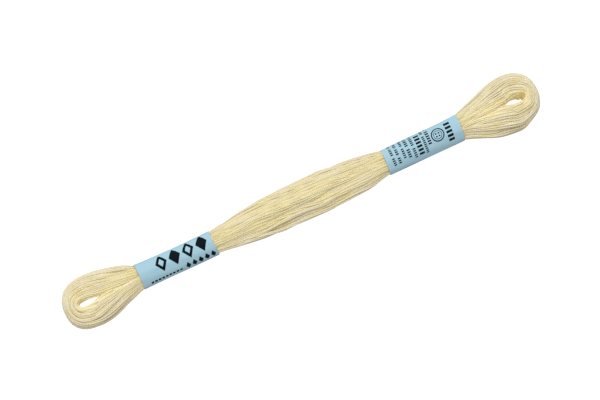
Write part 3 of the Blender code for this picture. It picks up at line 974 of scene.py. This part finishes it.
def left_band_print(u, v):
    """A row of four lozenges, open and solid in turn, then a row of stitches that ends in small lozenges."""
    line = u - (LOZENGE_LINE + LOZENGE_LINE_RISE * v)
    marks = []
    for number, middle in enumerate(LOZENGES_AT):
        reach = lozenge(v - middle, line, LOZENGE_HALF)
        marks.append((reach < 1.0) & (reach > (0.0 if number % 2 else LOZENGE_HOLLOW)))
    lower = u - LOWER_LINE
    stitches = (((v - STITCHES_FROM) % STITCH_PITCH) < STITCH_LENGTH) & (abs(lower) < STITCH_HALF)
    marks.append(stitches & (v > STITCHES_FROM) & (v < STITCHES_TO))
    along = (v - BEADS_FROM) % BEAD_PITCH - BEAD_PITCH / 2
    beads = lozenge(along, lower - BEAD_RAISED, BEAD_HALF) < 1.0
    marks.append(beads & (v > BEADS_FROM) & (v < BEADS_TO))
    return either(marks)


def right_band_print(u, v):
    """Rows of short strokes across the band in a few weights, and a four-hole button of two rings."""
    marks = []
    for middle, half, pitch, end, strokes_a_group in STROKE_ROWS:
        strokes = ((u - end) % pitch) < STROKE_SHARE * pitch
        group = (strokes_a_group + GROUP_GAP) * pitch
        groups = ((u - end) % group) < (strokes_a_group - GROUP_TRIM) * pitch
        marks.append((abs(v - middle) < half) & strokes & groups & (u > end) & (u < STROKES_END))
    along, across = v - BUTTON_V, u - BUTTON_U
    reach = along.math("SQRT", along * along + across * across)
    marks += [abs(reach - radius) < half for radius, half in BUTTON_RINGS]
    along, across = abs(along) - HOLE_OFFSET, abs(across) - HOLE_OFFSET
    marks.append((along * along + across * across) < HOLE_RADIUS**2)
    return either(marks)


PAPER_DEEP, PAPER_PALE = (0.337, 0.53, 0.622, 1), (0.368, 0.566, 0.664, 1)
INK = (0.002, 0.006, 0.010, 1)
FIBRES_PER_M = 60000.0
INK_CREEP = 0.25  # how far in mm the ink's edges follow the fibres


def paper_finish(name, printed):
    """Light blue uncoated paper: faint fibres, and black ink whose edges creep a little along them."""
    paper = Finish(name, {"Roughness": 0.6, "Specular IOR Level": 0.05})
    place = paper.node("ShaderNodeTexCoord", {}, {}, "Object")
    fibres = paper.node("ShaderNodeTexNoise", {}, {"Vector": place, "Scale": FIBRES_PER_M, "Detail": 3.0})
    u, v = paper.map_parts("print")
    creep = (fibres - 0.5) * INK_CREEP
    ink = printed(u + creep, v + creep)
    sheet = paper.mix(fibres, PAPER_DEEP, PAPER_PALE)
    paper.feed("Base Color", paper.mix(ink, sheet, INK))
    return paper.material


for name, printed in (("left_band", left_band_print), ("right_band", right_band_print)):
    mesh = paper_strip(name)
    mesh.materials.append(paper_finish("Blue paper of the " + name.replace("_", " "), printed))
    band = bpy.data.objects.new(mesh.name, mesh)
    bpy.context.scene.collection.objects.link(band)
    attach(band, "root")
    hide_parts(name)


# ---------------------------------------------------------------------------------------------------
# The white table that the hank lies on, two soft lights, and the camera, which looks down steeply from a
# little to the left of the hank's front. The table glows a little, so that it stays white. Sizes are in
# metres.

TABLE_HALF = 3.0
table_corners = [(x * TABLE_HALF, y * TABLE_HALF, 0) for x, y in ((-1, -1), (1, -1), (1, 1), (-1, 1))]
table_mesh = bpy.data.meshes.new("floor")
table_mesh.from_pydata(table_corners, [], [(0, 1, 2, 3)])
white_table = {
    "Base Color": (0.25, 0.25, 0.25, 1),
    "Roughness": 0.9,
    "Emission Color": (1, 1, 1, 1),
    "Emission Strength": 0.96,
}
table_mesh.materials.append(Finish("White table", white_table).material)
table = bpy.data.objects.new("floor", table_mesh)
bpy.context.scene.collection.objects.link(table)
table.visible_diffuse = False


def area_light(name, size, power, place):
    """A square light that faces the hank."""
    lamp = bpy.data.lights.new(name, "AREA")
    lamp.size, lamp.energy = size, power
    light = bpy.data.objects.new(name, lamp)
    light.location = place
    light.rotation_euler = Vector(place).to_track_quat("Z", "Y").to_euler()
    bpy.context.scene.collection.objects.link(light)


area_light("key", size=1.0, power=8.2, place=(0.0, 0.40, 0.85))
area_light("fill", size=1.0, power=1.0, place=(-0.2, -0.9, 0.35))
world = bpy.data.worlds.new("studio")
bpy.context.scene.world = world
world.use_nodes = True
world.node_tree.nodes["Background"].inputs["Color"].default_value = (1, 1, 1, 1)
world.node_tree.nodes["Background"].inputs["Strength"].default_value = 0.50
bpy.context.scene.view_settings.view_transform = "Standard"

VIEW_AZIMUTH = math.radians(-25.9)
VIEW_ELEVATION = math.radians(75)
LENS, SENSOR = 300.0, 36.0
IMAGE_WIDTH, PIXELS_PER_MM = 600, 3.289
AIM = Vector((-0.00064, 0.00065, 0.0035))
toward_viewer = Vector(
    (
        math.sin(VIEW_AZIMUTH) * math.cos(VIEW_ELEVATION),
        -math.cos(VIEW_AZIMUTH) * math.cos(VIEW_ELEVATION),
        math.sin(VIEW_ELEVATION),
    )
)
field_width = IMAGE_WIDTH / PIXELS_PER_MM * MM
camera_data = bpy.data.cameras.new("camera")
camera_data.lens, camera_data.sensor_width = LENS, SENSOR
camera = bpy.data.objects.new("camera", camera_data)
camera.location = AIM + toward_viewer * (field_width * LENS / SENSOR)
camera.rotation_euler = toward_viewer.to_track_quat("Z", "Y").to_euler()
bpy.context.scene.collection.objects.link(camera)
bpy.context.scene.camera = camera
